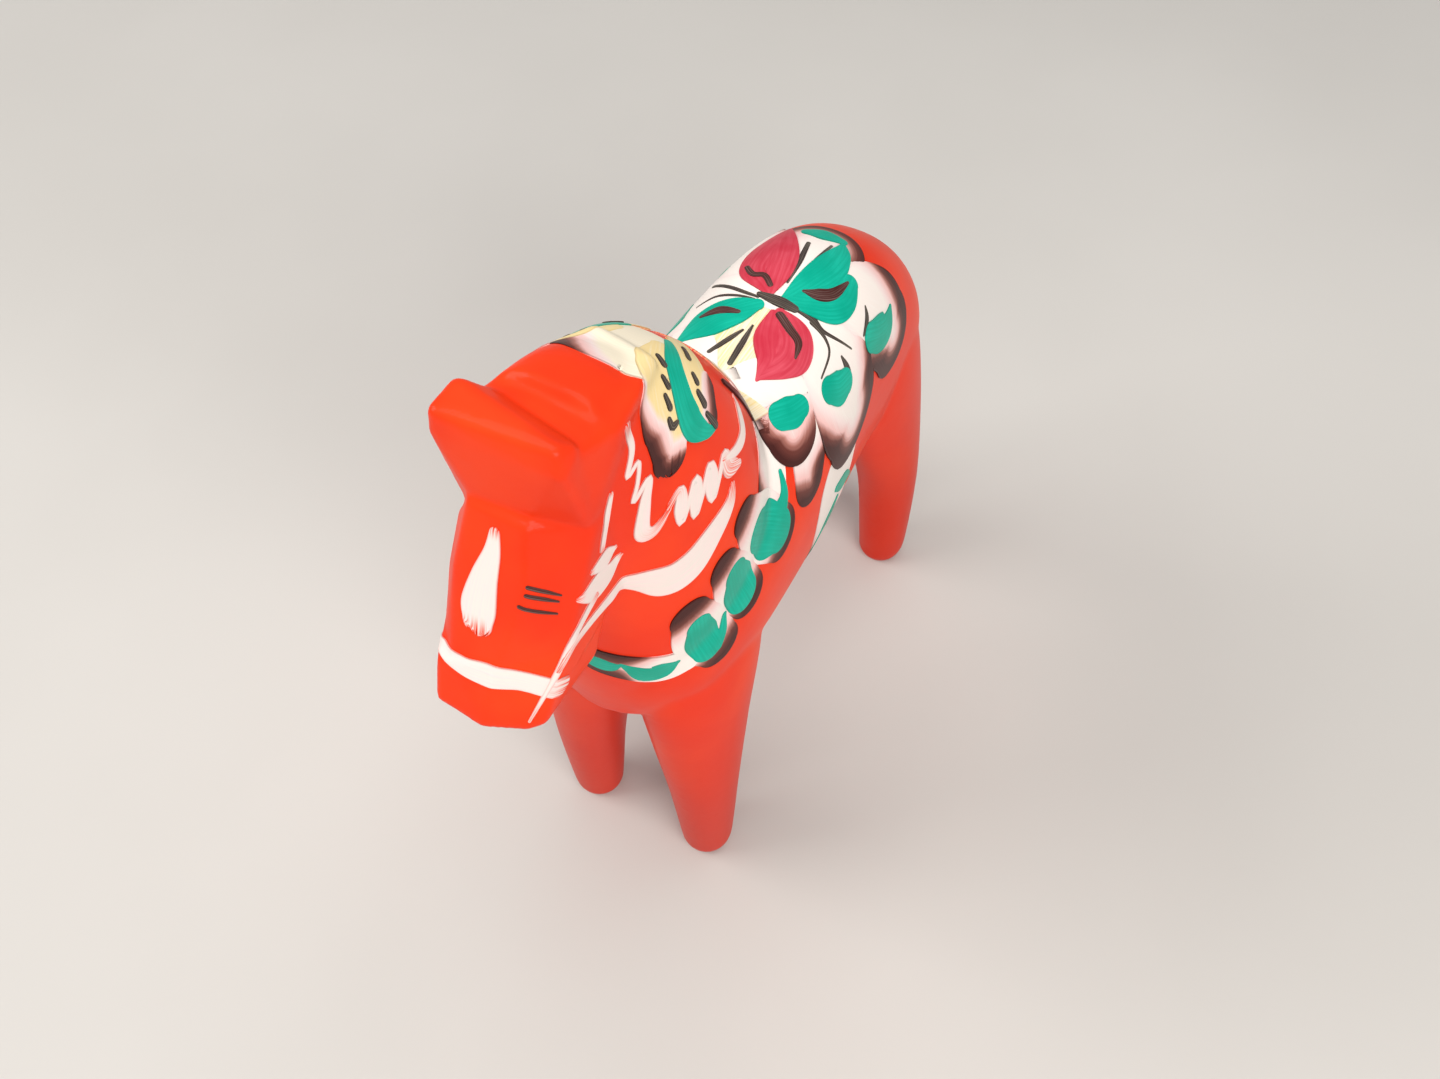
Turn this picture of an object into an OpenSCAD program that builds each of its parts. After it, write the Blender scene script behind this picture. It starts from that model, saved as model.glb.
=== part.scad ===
// A carved and painted dala horse, standing on its four feet.
// One block of pine, then the painted decoration, each motif a thin film of its own.
// +X is the way the horse looks, +Y its left, +Z up. The origin is on the ground,
// under the middle of the horse.
// Sections and strokes are drawn for a horse 250 mm tall and scaled to the driving sizes.

/* [Blank] */
// Height from the ground to the ear tips, mm
height = 250; // [200:5:300]
// Length from the muzzle to the rump, mm
horse_length = 210; // [195:1:225]
// Thickness of the plank the horse is sawn from, mm
plank = 65; // [60:1:70]

/* [Paint] */
// Thickness of one coat of decoration, mm
coat = 0.3; // [0.2:0.1:0.5]

/* [Hidden] */
drawn_length = 210.2;
drawn_plank = 65;
drawn_height = 250;
middle = -42.9;
around = 22;
steps = 3;
// No stroke is narrower than this each side of its middle.
thinnest = 0.7;
// Ends and lines finer than this are cut with fewer sides.
fine = 1.5;

RED = [0.86, 0.16, 0.06];
CREAM = [0.96, 0.90, 0.78];
PINK = [0.93, 0.66, 0.62];
GREEN = [0.02, 0.55, 0.42];
CRIMSON = [0.66, 0.08, 0.14];
DARK = [0.20, 0.15, 0.14];

// Sections of the horse: [x, y, z, half depth, half width, lean, squareness].
// A lean of 0 is level and 90 stands upright across the horse. A squareness of 1 is
// an ellipse, and less is nearer to a box.
torso = [
    [24, 0, 141, 12, 9, 90, 1],
    [19, 0, 138, 28, 19, 90, 1],
    [8, 0, 136, 36, 27.5, 90, 0.95],
    [-12, 0, 137, 42, 31, 90, 0.9],
    [-40, 0, 136, 45, 30.5, 90, 0.85],
    [-66, 0, 136, 45, 29, 90, 0.8],
    [-92, 0, 134, 46.5, 26.5, 90, 0.8],
    [-114, 0, 129, 43, 25.5, 90, 0.85],
    [-132, 0, 122, 36, 23.5, 90, 0.9],
    [-142, 0, 118, 27, 19, 90, 0.95],
    [-147, 0, 116, 15, 11, 90, 1],
    [-148, 0, 116, 5, 4, 90, 1]
];
neck = [
    [-10, 0, 148, 46, 28, -46, 0.9],
    [-3, 0, 173, 42, 26.5, -47, 0.85],
    [4, 0, 196, 35, 22, -52, 0.8],
    [12, 0, 211, 28, 18, -58, 0.8],
    [19, 0, 223, 21.5, 15, -62, 0.7],
    [25, 0, 232, 14, 13.5, -62, 0.6]
];
front_leg = [
    [1.5, 21.5, 2.5, 8, 8, 0, 1],
    [1.5, 21.5, 12, 9, 9, 0, 1],
    [1, 20.5, 50, 12.5, 11, 0, 1],
    [-2, 18, 85, 18, 13.5, 0, 1],
    [-6, 16, 115, 24, 15, 0, 1],
    [-8, 15, 140, 26, 13, 0, 1]
];
hind_leg = [
    [-134, 23.5, 2.5, 8, 8, 0, 1],
    [-134, 23.5, 12, 9, 9, 0, 1],
    [-133, 21.5, 50, 12, 10.5, 0, 1],
    [-128, 18, 85, 18, 11.5, 0, 1],
    [-121, 15, 115, 23, 12, 0, 1],
    [-117, 13, 135, 23, 11, 0, 1]
];
sole = 6;
ankle = 8;
ankle_height = 2.5;
// Corners of the head on the left, then on the right. The knife left the face a little
// to the right of the middle.
face = [
    [37.5, 4.5, 224.5], [44, 6.5, 210], [53, 2.5, 190.5], [29, 13, 219.5], [35, 13, 205.5],
    [42, 13, 195], [46.5, 12.8, 183], [30, 12.5, 190], [16, 13, 192], [10, 13, 219],
    [37.5, -8, 224.5], [44, -9.5, 210], [54, -7.8, 188.5], [36, -13, 214.5],
    [41.8, -13, 205], [53, -10.6, 186], [30, -12.5, 190], [16, -13, 192], [10, -13, 219]
];
muzzle = [
    [52.5, 2.5, 192], [60, 1.6, 177.5], [56, 9.8, 177], [53.5, 12.2, 177.5],
    [46.5, 12.8, 183], [42, 13, 195], [52, 10, 173.5], [34, 12, 176], [25, 12.5, 195],
    [54.5, -7.8, 188.5], [59.4, -9.4, 178], [56.5, -11.2, 179], [55, -10.6, 187],
    [42, -13, 199], [54, -9, 174], [34, -12, 176], [25, -12.5, 195]
];
ears = [
    [32, 9.8, 245.3], [29.5, 10.8, 243.3], [33, 11, 241.5], [34.5, 4, 226], [29, 12, 222.5],
    [35, -13, 246.5], [28.5, -13.3, 246], [26, -9, 243], [35.5, -13.5, 242], [35.5, -8, 226],
    [33, -12, 219]
];
poll = [
    [31, 10.3, 242], [17, 12.8, 238.5], [8, 11, 237.2], [-2, 8, 233.5], [12, 11, 228],
    [20, 12, 220], [29, 12, 222],
    [32, -11.5, 243], [15, -9.5, 238.5], [4, -7.5, 235.5], [-4, -5, 233], [12, -11, 228],
    [20, -12, 220], [29, -12, 222]
];

function mirrored(strokes) = [
    each strokes,
    for (s = strokes)
        [for (p = s) [p[0], -p[1], p[2], p[3]]]
];

// Brush strokes: each point is [x, y, z, half width]. Those of the side strokes are on
// the horse's left.
blaze_strokes = [
    [[40.5, -1.5, 222, 1.2], [42.5, -1.5, 217.5, 2], [45, -2.5, 211, 3.2], [48, -3, 204.5, 4.2],
        [50, -2.8, 201, 3.6]]
];
noseband_strokes = [
    [[48, -13, 187, 1.4], [55, -9.5, 190, 1.8], [55.5, -4, 189.3, 2.4], [55, 2, 190, 3],
        [52, 7.5, 188.5, 2.4], [47, 13.5, 183.5, 2.6]]
];
eye_strokes = [
    [[43.5, 7, 213, 0.45], [41.5, 9.5, 210.5, 0.45], [39.5, 11.5, 208, 0.2]],
    [[44.5, 7, 211.3, 0.45], [42.5, 9.5, 209, 0.45], [40.5, 11.5, 206.8, 0.2]],
    [[46, 6, 208.5, 0.45], [44, 9.3, 206.2, 0.4], [41.7, 11.5, 204, 0.2]]
];
// The right side of the head is cut further in, and its eye sits further back.
right_eye_strokes = [
    for (s = eye_strokes)
        [for (p = s) p + [-10, 3, -2, 0]]
];
cheek_strokes = [
    [[23, 14.5, 224, 0.8], [25.5, 14.5, 218, 1.1], [28, 14.5, 211.5, 1]],
    [[24, 14.5, 206.5, 0.8], [27.5, 14.5, 207, 3], [32, 14.5, 208.5, 1]],
    [[22.5, 14.5, 202.5, 0.6], [27, 14.5, 201, 3.4], [32, 14.5, 202.5, 4], [37.5, 14, 205, 0.6]],
    [[32.5, 14.5, 199.5, 1.5], [40.5, 14.5, 196, 1.3], [47, 13.5, 189.5, 0.8],
        [56, 10.7, 179, 0.3]],
    [[-9.5, 24, 194.5, 0.8], [-6.5, 24.5, 190.5, 2.4], [0.5, 24, 187, 4], [8, 23, 184, 5.2],
        [14, 20.5, 184.5, 5], [20, 16, 189.5, 3], [29, 14.5, 192, 1.8], [41, 14.5, 193.5, 1.3],
        [47, 13.5, 189.5, 0.7]]
];
ripple_strokes = [
    [[15.5, 14.5, 237, 1.3], [15, 14.5, 230.5, 1], [18, 15, 224.5, 0.8],
        [14.5, 15.5, 225.5, 0.7], [16, 16, 220.5, 0.7], [18, 16, 216.5, 0.8],
        [13, 16.5, 219, 1], [15.5, 17, 213.5, 1.8], [17.5, 17, 206, 2.2],
        [15, 18.5, 203.5, 1.7], [10, 19, 206, 0.7]],
    [[10, 19, 206.5, 0.8], [6, 19.5, 208.5, 1.2], [7, 20.5, 203.5, 2.3], [7.5, 21, 199.5, 1],
        [1.5, 20.5, 207, 1.3], [2.5, 21.5, 202, 2.5], [3.5, 22, 197.8, 1],
        [-3.5, 21, 206.3, 1.3], [-3, 22, 201, 2.8], [-2.5, 23, 197.3, 1], [-9, 21.5, 204, 1.3],
        [-10, 22.5, 199.5, 2.7], [-14, 23, 196.5, 1]],
    [[-8.5, 22, 203.5, 0.7], [-14, 22, 200.5, 1.5], [-19.5, 20.5, 199.5, 2],
        [-22.5, 18.5, 202.5, 1.8], [-24, 16, 205, 0.8]]
];
tuft_strokes = [
    [[-11, 6, 229, 2.5], [-3, 10.5, 232.5, 6.5], [2.5, 14, 230, 8], [4, 16.5, 225, 7.5],
        [6, 17.5, 219.5, 5.5]],
    [[-18.5, 5, 221, 3], [-13.5, 11, 223.5, 6], [-10.5, 15.5, 220, 6.5], [-9, 18, 216, 4]]
];
leaf_strokes = [
    [[-15, 5, 225.5, 1], [-8.5, 10.5, 228, 2.7], [-4, 14.5, 225, 3.6], [-3, 17.5, 219.5, 3.8],
        [-6, 19, 214.5, 1.8], [-9, 19, 212.5, 0.7]]
];
dash_strokes = [
    [[-6.7, 7.5, 230.5, 0.7], [-6, 9.5, 230.3, 0.9]],
    [[-2.5, 11, 230.5, 0.7], [-2, 12.3, 229.3, 0.9]],
    [[0.5, 13.5, 229.5, 0.7], [1, 14.8, 227.5, 0.9]],
    [[3, 15.5, 226, 0.7], [3, 16.2, 224.2, 0.9], [1, 16.5, 223.8, 0.5]],
    [[-16.5, 7.5, 223, 0.6], [-14.5, 10, 223.8, 0.8]],
    [[-11.3, 13, 223.6, 0.7], [-10.7, 14, 222.5, 0.9]],
    [[-9, 15.2, 221.5, 0.8], [-9, 17, 219, 1]],
    [[-8.2, 17.7, 217, 0.7], [-9.5, 19, 212.8, 1]]
];
patch_strokes = [
    [[-2, 12, 232, 5], [-1, 7, 237, 7], [-1, 0, 239, 7.5], [-1, -7, 236, 7], [-2, -12, 231, 4]],
    [[-10, 9, 228, 6], [-10.5, 0, 231, 8], [-10, -9, 227, 6]]
];
heart_strokes = [
    [[-74.5, -3.5, 181, 0.8], [-74.5, -0.5, 181, 1.4], [-74.5, 3, 181, 1.7],
        [-74.5, 6.5, 180.5, 1.2]]
];
red_petal_strokes = [
    [[-70.5, 2.5, 181, 1], [-63, 5, 181, 3.6], [-57, 8.5, 180.5, 3.5], [-52.5, 9, 180, 1.8],
        [-49, 9, 180, 0.4]],
    [[-71.5, 4, 181, 1.4], [-67.5, 10, 179.5, 4.8], [-61.5, 12.5, 178.5, 5.2],
        [-56, 12, 179, 3], [-49.5, 9, 180, 0.4]],
    [[-76, -2, 181, 0.9], [-81.5, -9, 180, 3.6], [-89, -10.5, 179, 5], [-97, -10.5, 177.5, 3.8],
        [-107, -10.7, 173, 0.5]],
    [[-76.5, -1, 181, 0.8], [-83, -2.5, 181, 3.3], [-90.5, -4.5, 180.5, 3.9],
        [-99, -7.5, 178, 2.4], [-107, -10.7, 173, 0.5]]
];
green_petal_strokes = [
    [[-71, -2.5, 181, 2], [-67.5, -6, 180.5, 4.7], [-63, -10, 179.5, 6],
        [-58.5, -12.5, 178.7, 5.2], [-53, -15.5, 177, 1]],
    [[-76.5, 3, 181, 1.2], [-83.5, 5.5, 181, 3.7], [-92.5, 7.5, 179.5, 4.8],
        [-101.5, 7, 177, 3], [-106.5, 5.5, 175.5, 0.8]],
    [[-76, 4, 181, 1], [-78.5, 8.5, 180.5, 4], [-82.5, 12.5, 178, 5.7], [-88, 14.5, 176.8, 4.5],
        [-94, 13.5, 176.3, 2.6]]
];
shadow_strokes = [
    [[-62.5, -14, 178, 0.6], [-65.5, -10.5, 179.5, 1.5], [-66.5, -5.5, 180.5, 0.7]],
    [[-81, 6, 181, 0.5], [-82.5, 9.5, 180, 1.9], [-86, 12, 178.5, 1.6], [-93, 13, 177, 0.4]],
    [[-70.5, 4.5, 181, 1.2], [-68, 8.5, 180, 1.3], [-66, 12, 179, 1.1],
        [-61.5, 13.5, 178.5, 0.3]],
    [[-83, -11.5, 179, 0.7], [-80.5, -8.5, 180, 0.9], [-81, -5.5, 181, 0.9],
        [-78.5, -2.5, 181, 0.8]]
];
stamen_strokes = [
    [[-75, 7, 180.5, 0.9], [-75, 11.5, 179, 1.1], [-74.5, 15.5, 176.5, 0.6],
        [-79, 21.5, 169.5, 0.3]],
    [[-74, 12, 179, 0.8], [-73, 16.5, 176, 0.5], [-70.5, 19, 174, 0.4], [-63.5, 20, 172.5, 0.3]],
    [[-81.5, 1, 181.5, 0.3], [-90.5, 0, 180.5, 0.8], [-100, -2, 178.5, 0.6]],
    [[-81.5, 2.5, 181, 0.3], [-88, 3, 181, 0.5], [-103, 3.5, 177, 0.4]],
    [[-73.5, -3.5, 181, 0.4], [-74, -9, 180, 0.6], [-77, -18.5, 174, 0.5]],
    [[-72.5, -4, 181, 0.3], [-72, -9.5, 180, 0.5], [-71, -15, 177.5, 0.5],
        [-68, -18.5, 174.5, 0.4]],
    [[-61.5, -1.5, 181, 0.3], [-57.5, -3, 181, 0.7], [-51, -5.5, 181, 0.6]],
    [[-64, 0, 181, 0.3], [-57.5, 0.5, 181, 0.8], [-50, 1, 181, 0.7]],
    [[-74, 21, 171, 0.4], [-74, 23, 167.5, 1.2], [-74, 24.5, 164, 0.4]],
    [[-93, 18.5, 171, 0.3], [-91, 20.5, 169, 1], [-86.5, 21.5, 167.5, 0.4]]
];
drop_strokes = [
    [[-106.5, -5, 175.5, 2.2], [-107.5, -1, 175.2, 3.6], [-108, 4, 174.8, 2]],
    each mirrored([
        [[-52, 20, 173.5, 3.2], [-49, 19.2, 174, 4.2], [-45.5, 17.8, 175.3, 3.8]],
        [[-71, 24, 165.8, 3.8], [-67.5, 24, 166.8, 4.8], [-64, 22.8, 169, 3.8]],
        [[-105.5, 21.5, 161, 0.8], [-100.5, 23, 159, 4.6], [-95, 23.3, 161, 5.4],
            [-90, 22.7, 164, 4.4]]
    ])
];
ground_strokes = [
    [[-27, 0, 205, 11], [-36, 0, 192, 14], [-47, 0, 182, 17], [-60, 0, 180, 19],
        [-80, 0, 178, 21], [-96, 0, 176, 14]]
];
lobe_strokes = [
    [[-85, 0, 181, 14], [-95, 0, 179.5, 15], [-102, 0, 177, 14]],
    each mirrored([
        [[-88, 12, 177, 9], [-95, 18, 170, 13], [-101, 22.5, 161, 15], [-104, 24.3, 153.5, 13.5]],
        [[-72, 13, 176, 9], [-70, 20, 170, 14.5], [-70.5, 25, 161, 17.5], [-71.5, 27, 155, 16.5]],
        [[-33, 6, 198, 7], [-42, 9, 183, 9], [-48, 13.5, 178, 11], [-47, 17, 175.5, 11],
            [-45.5, 21, 171.5, 9.5]],
        [[-23, 14, 210, 0.7], [-28, 15, 200, 1.2], [-34, 16, 188, 1.8], [-38.5, 15, 178, 2]]
    ])
];
skirt_strokes = [
    [[-52, 21.5, 169.5, 6], [-48, 25, 164, 8], [-44, 28, 157, 7.5]],
    [[-36, 20.5, 180, 9.5], [-31, 23.5, 175, 10.5], [-27, 25.5, 169, 9.5]]
];
collar_strokes = [
    [[-12, 26, 179.5, 5.5], [-16, 26.5, 171.5, 8.5], [-21, 26.5, 164, 9.6],
        [-26, 28.7, 156.5, 8]],
    [[-1.5, 26, 172, 5.4], [-3.5, 27, 166, 7.6], [-5.5, 27.5, 159.5, 8.4], [-8, 28.7, 153, 7]],
    [[10.5, 24, 165.5, 6], [9, 25, 159, 8.2], [7, 25.5, 152, 8.6], [4.5, 28, 145.5, 7]],
    [[13, 23, 148.5, 5], [18.5, 19.5, 148.5, 6.3], [23, 13, 151, 6], [25.5, 6, 152, 5.6],
        [26, 0, 152, 5]]
];
bead_strokes = [
    [[-35, 23.5, 168.5, 0.6], [-32.5, 26, 163.5, 1.7], [-27, 27.5, 161, 4]],
    [[-25.5, 28, 158, 6.2], [-21.5, 27, 162.5, 7.9], [-18, 26.5, 166.5, 6]],
    [[-5, 27, 165.5, 4.4], [-5.5, 27.5, 161, 6.2], [-6.5, 28, 155, 5.8]],
    [[0.5, 27, 154.5, 0.9], [2.5, 27.5, 149.5, 1.5], [5.5, 27.5, 146.5, 2.4]],
    [[9, 25, 160, 3.8], [8.5, 25, 154.5, 5.2], [7.5, 26.5, 148, 4.6]],
    [[15, 22, 149, 1], [17.5, 20, 148, 3.8], [20.5, 17, 147.5, 3.8], [23, 14, 151, 1.8],
        [23.7, 12, 153, 0.7]],
    [[24, 11.5, 152.5, 0.8], [24.8, 9, 151.5, 2.6], [25.6, 5.5, 151.5, 2.8],
        [26, 1.5, 151.5, 1]]
];
girth_strokes = [
    [[-62, 29, 138, 13.5], [-60, 29, 128, 13], [-58, 27, 115, 11.5], [-56, 23, 103, 9.5],
        [-55, 14, 95, 6]]
];
girth_leaf_strokes = [
    [[-73, 28, 125, 1], [-67, 29, 129.5, 3.2], [-61, 29.5, 133.5, 1.4]],
    [[-63, 29, 126, 1.2], [-57, 29, 119.5, 3.8], [-52.5, 27.5, 110, 3.4], [-51, 24, 102, 1]]
];

petals_and_heart = [each red_petal_strokes, each green_petal_strokes, each heart_strokes];
tuft_and_lobes = [each tuft_strokes, each lobe_strokes];
saddle_strokes = [each ground_strokes, each lobe_strokes];
lobes_and_skirt = [each lobe_strokes, each skirt_strokes];

// A smooth curve through neighbouring stations, at t between the middle two.
function blend(a, b, c, d, t) =
    0.5 * (2 * b + (c - a) * t + (2 * a - 5 * b + 4 * c - d) * t * t
        + (3 * b - a - 3 * c + d) * t * t * t);

function refine(stations) = [
    for (i = [0:len(stations) - 2], k = [0:steps - 1])
        blend(stations[max(i - 1, 0)], stations[i], stations[i + 1],
            stations[min(i + 2, len(stations) - 1)], k / steps),
    stations[len(stations) - 1]
];

function bent(x, squareness) = sign(x) * pow(abs(x), squareness);

function ring(s, grow) = [
    for (k = [0:around - 1])
        let (
            a = 360 * k / around,
            deep = bent(cos(a), s[6]) * (s[3] + grow),
            wide = bent(sin(a), s[6]) * (s[4] + grow)
        )
        [s[0] + deep * cos(s[5]), s[1] + wide, s[2] + deep * sin(s[5])]
];

module loft(stations, grow) {
    rings = [for (s = refine(stations)) ring(s, grow)];
    n = len(rings);
    polyhedron(
        points = [for (r = rings) each r],
        faces = [
            [for (k = [0:around - 1]) k],
            for (i = [0:n - 2], k = [0:around - 1])
                let (a = i * around, b = a + around, m = (k + 1) % around)
                each [[a + k, b + k, b + m], [a + k, b + m, a + m]],
            [for (k = [around - 1:-1:0]) (n - 1) * around + k]
        ]
    );
}

// A convex lump with knife-rounded edges.
module lump(corners, round) {
    hull()
        for (c = corners)
            translate(c)
                sphere(round, $fn = 8);
}

// The end of a leg: a flat sole with its edge rounded off.
module foot(leg, grow) {
    translate([leg[0][0], leg[0][1], 0])
        hull() {
            cylinder(r = sole + grow, h = 1, $fn = around);
            translate([0, 0, ankle_height])
                cylinder(r = ankle + grow, h = 1, $fn = around);
        }
}

// The whole horse, every surface but the soles moved out by grow.
module carving(grow) {
    loft(torso, grow);
    loft(neck, grow);
    for (corners = [face, muzzle])
        lump(corners, 1.3 + grow);
    for (corners = [ears, poll])
        lump(corners, 2 + grow);
    for (side = [0, 1], leg = [front_leg, hind_leg])
        mirror([0, side, 0]) {
            loft(leg, grow);
            foot(leg, grow);
        }
}

module sized() {
    scale([horse_length / drawn_length, plank / drawn_plank, height / drawn_height])
        translate([-middle, 0, 0])
            children();
}

// A pulled brush stroke: it swells and thins from point to point.
module stroke(points) {
    for (i = [0:len(points) - 2])
        hull()
            for (p = [points[i], points[i + 1]])
                translate([p[0], p[1], p[2]])
                    sphere(max(p[3], thinnest), $fn = p[3] < fine ? 6 : 8);
}

// Paint on the wood along the strokes, clear of the strokes in less. Level 0 lies on the
// wood and each level after that on the one below. Side 0 is the left and side 1 the right.
module film(strokes, level, sides, less) {
    sized()
        difference() {
            intersection() {
                carving((level + 1) * coat);
                brushed(strokes, sides);
            }
            carving(level * coat);
            brushed(less, [0, 1]);
        }
}

module brushed(strokes, sides) {
    for (side = sides)
        mirror([0, side, 0])
            for (s = strokes)
                stroke(s);
}

LEFT = [0];
RIGHT = [1];

module carved_body() {
    color(RED)
        sized()
            carving(0);
}

module blaze() {
    color(CREAM) film(blaze_strokes, 0, LEFT, []);
}
module noseband() {
    color(CREAM) film(noseband_strokes, 0, LEFT, []);
}
module eye_dashes_left() {
    color(DARK) film(eye_strokes, 0, LEFT, []);
}
module eye_dashes_right() {
    color(DARK) film(right_eye_strokes, 0, RIGHT, []);
}
module cheek_strap_left() {
    color(CREAM) film(cheek_strokes, 0, LEFT, noseband_strokes);
}
module cheek_strap_right() {
    color(CREAM) film(cheek_strokes, 0, RIGHT, noseband_strokes);
}
module neck_ripple_left() {
    color(CREAM) film(ripple_strokes, 0, LEFT, tuft_and_lobes);
}
module neck_ripple_right() {
    color(CREAM) film(ripple_strokes, 0, RIGHT, tuft_and_lobes);
}
module mane_tuft_left() {
    color(CREAM) film(tuft_strokes, 0, LEFT, []);
}
module mane_tuft_right() {
    color(CREAM) film(tuft_strokes, 0, RIGHT, []);
}
module mane_leaf_left() {
    color(GREEN) film(leaf_strokes, 1, LEFT, []);
}
module mane_leaf_right() {
    color(GREEN) film(leaf_strokes, 1, RIGHT, []);
}
module mane_dashes_left() {
    color(DARK) film(dash_strokes, 1, LEFT, leaf_strokes);
}
module mane_dashes_right() {
    color(DARK) film(dash_strokes, 1, RIGHT, leaf_strokes);
}
module saddle_skirt_left() {
    color(PINK) film(skirt_strokes, 0, LEFT, saddle_strokes);
}
module saddle_skirt_right() {
    color(PINK) film(skirt_strokes, 0, RIGHT, saddle_strokes);
}
module collar_left() {
    color(PINK) film(collar_strokes, 0, LEFT, skirt_strokes);
}
module collar_right() {
    color(PINK) film(collar_strokes, 0, RIGHT, skirt_strokes);
}
module collar_beads_left() {
    color(GREEN) film(bead_strokes, 1, LEFT, []);
}
module collar_beads_right() {
    color(GREEN) film(bead_strokes, 1, RIGHT, []);
}
module girth_left() {
    color(CREAM) film(girth_strokes, 0, LEFT, lobes_and_skirt);
}
module girth_right() {
    color(CREAM) film(girth_strokes, 0, RIGHT, lobes_and_skirt);
}
module girth_leaves_left() {
    color(GREEN) film(girth_leaf_strokes, 1, LEFT, []);
}
module girth_leaves_right() {
    color(GREEN) film(girth_leaf_strokes, 1, RIGHT, []);
}
module mane_patch() {
    color(CREAM) film(patch_strokes, 0, LEFT, tuft_strokes);
}
module saddle_ground() {
    color(CREAM) film(ground_strokes, 0, LEFT, tuft_and_lobes);
}
module saddle_lobes() {
    color(PINK) film(lobe_strokes, 0, LEFT, tuft_strokes);
}
module red_petals() {
    color(CRIMSON) film(red_petal_strokes, 1, LEFT, heart_strokes);
}
module green_petals() {
    color(GREEN) film(green_petal_strokes, 1, LEFT, heart_strokes);
}
module petal_shadows() {
    color(DARK) film(shadow_strokes, 2, LEFT, heart_strokes);
}
module flower_heart() {
    color(DARK) film(heart_strokes, 1, LEFT, []);
}
module stamens() {
    color(DARK) film(stamen_strokes, 1, LEFT, petals_and_heart);
}
module saddle_drops() {
    color(GREEN) film(drop_strokes, 1, LEFT, []);
}

carved_body();
blaze();
noseband();
eye_dashes_left();
eye_dashes_right();
cheek_strap_left();
cheek_strap_right();
neck_ripple_left();
neck_ripple_right();
mane_tuft_left();
mane_tuft_right();
mane_leaf_left();
mane_leaf_right();
mane_dashes_left();
mane_dashes_right();
saddle_skirt_left();
saddle_skirt_right();
collar_left();
collar_right();
collar_beads_left();
collar_beads_right();
girth_left();
girth_right();
girth_leaves_left();
girth_leaves_right();
mane_patch();
saddle_ground();
saddle_lobes();
red_petals();
green_petals();
petal_shadows();
flower_heart();
stamens();
saddle_drops();
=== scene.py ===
import math

import bmesh
import bpy
import numpy as np
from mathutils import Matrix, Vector, noise
from mathutils.bvhtree import BVHTree


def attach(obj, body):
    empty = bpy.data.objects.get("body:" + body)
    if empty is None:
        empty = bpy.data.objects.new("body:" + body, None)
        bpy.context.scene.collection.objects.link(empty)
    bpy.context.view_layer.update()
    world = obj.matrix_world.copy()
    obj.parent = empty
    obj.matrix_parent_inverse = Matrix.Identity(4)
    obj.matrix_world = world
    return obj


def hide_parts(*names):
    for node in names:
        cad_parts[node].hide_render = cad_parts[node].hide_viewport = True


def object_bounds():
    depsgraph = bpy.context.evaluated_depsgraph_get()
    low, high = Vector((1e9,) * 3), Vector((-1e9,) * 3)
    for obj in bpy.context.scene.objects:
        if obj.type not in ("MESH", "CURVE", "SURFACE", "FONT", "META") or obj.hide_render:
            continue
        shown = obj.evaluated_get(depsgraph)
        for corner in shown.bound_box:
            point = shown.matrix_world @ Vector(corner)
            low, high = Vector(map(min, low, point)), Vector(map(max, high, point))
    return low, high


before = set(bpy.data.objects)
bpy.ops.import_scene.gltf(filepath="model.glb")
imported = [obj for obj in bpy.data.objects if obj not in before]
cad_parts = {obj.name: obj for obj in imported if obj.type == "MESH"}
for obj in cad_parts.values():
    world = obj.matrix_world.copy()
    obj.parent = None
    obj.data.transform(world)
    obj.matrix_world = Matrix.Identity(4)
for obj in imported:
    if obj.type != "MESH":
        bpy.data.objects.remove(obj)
cad_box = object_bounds()

# Everything is drawn in mm for a horse whose front feet stand at x = 0, and put in the
# CAD's frame by place(). +X is the way the horse looks, +Y its left and +Z up.
MIDDLE = -42.9
MM = 0.001

low, high = (np.array(corner) for corner in cad_box)


def place(points):
    return (np.asarray(points, float) - (MIDDLE, 0, 0)) * MM


# ---------------------------------------------------------------- the carved horse

# Points round a section, steps between two sections and the size of the final mesh.
AROUND = 72
STEPS = 8
VOXEL = 0.0008
# Where the knife's facets stay sharp, from none of it to all of it, in metres.
SHARP_ABOVE = (0.172, 0.180)
SHARP_AHEAD = (0.068, 0.076)
# How high the flat soles reach, and how many rounds of smoothing the rest gets.
SOLE = 0.0012
SMOOTHING = 60
SOFTENING = 3

# Sections: (x, y, z, half depth, half width, lean in degrees, squareness).
TORSO = [
    (24, 0, 141, 12, 9, 90, 1),
    (19, 0, 138, 28, 19, 90, 1),
    (8, 0, 136, 36, 27.5, 90, 0.95),
    (-12, 0, 137, 42, 31, 90, 0.9),
    (-40, 0, 136, 45, 30.5, 90, 0.85),
    (-66, 0, 136, 45, 29, 90, 0.8),
    (-92, 0, 134, 46.5, 26.5, 90, 0.8),
    (-114, 0, 129, 43, 25.5, 90, 0.85),
    (-132, 0, 122, 36, 23.5, 90, 0.9),
    (-142, 0, 118, 27, 19, 90, 0.95),
    (-147, 0, 116, 15, 11, 90, 1),
    (-148, 0, 116, 5, 4, 90, 1),
]
NECK = [
    (-10, 0, 148, 46, 28, -46, 0.9),
    (-3, 0, 173, 42, 26.5, -47, 0.85),
    (4, 0, 196, 35, 22, -52, 0.8),
    (12, 0, 211, 28, 18, -58, 0.8),
    (19, 0, 223, 21.5, 15, -62, 0.7),
    (25, 0, 232, 14, 13.5, -62, 0.6),
]
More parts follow.
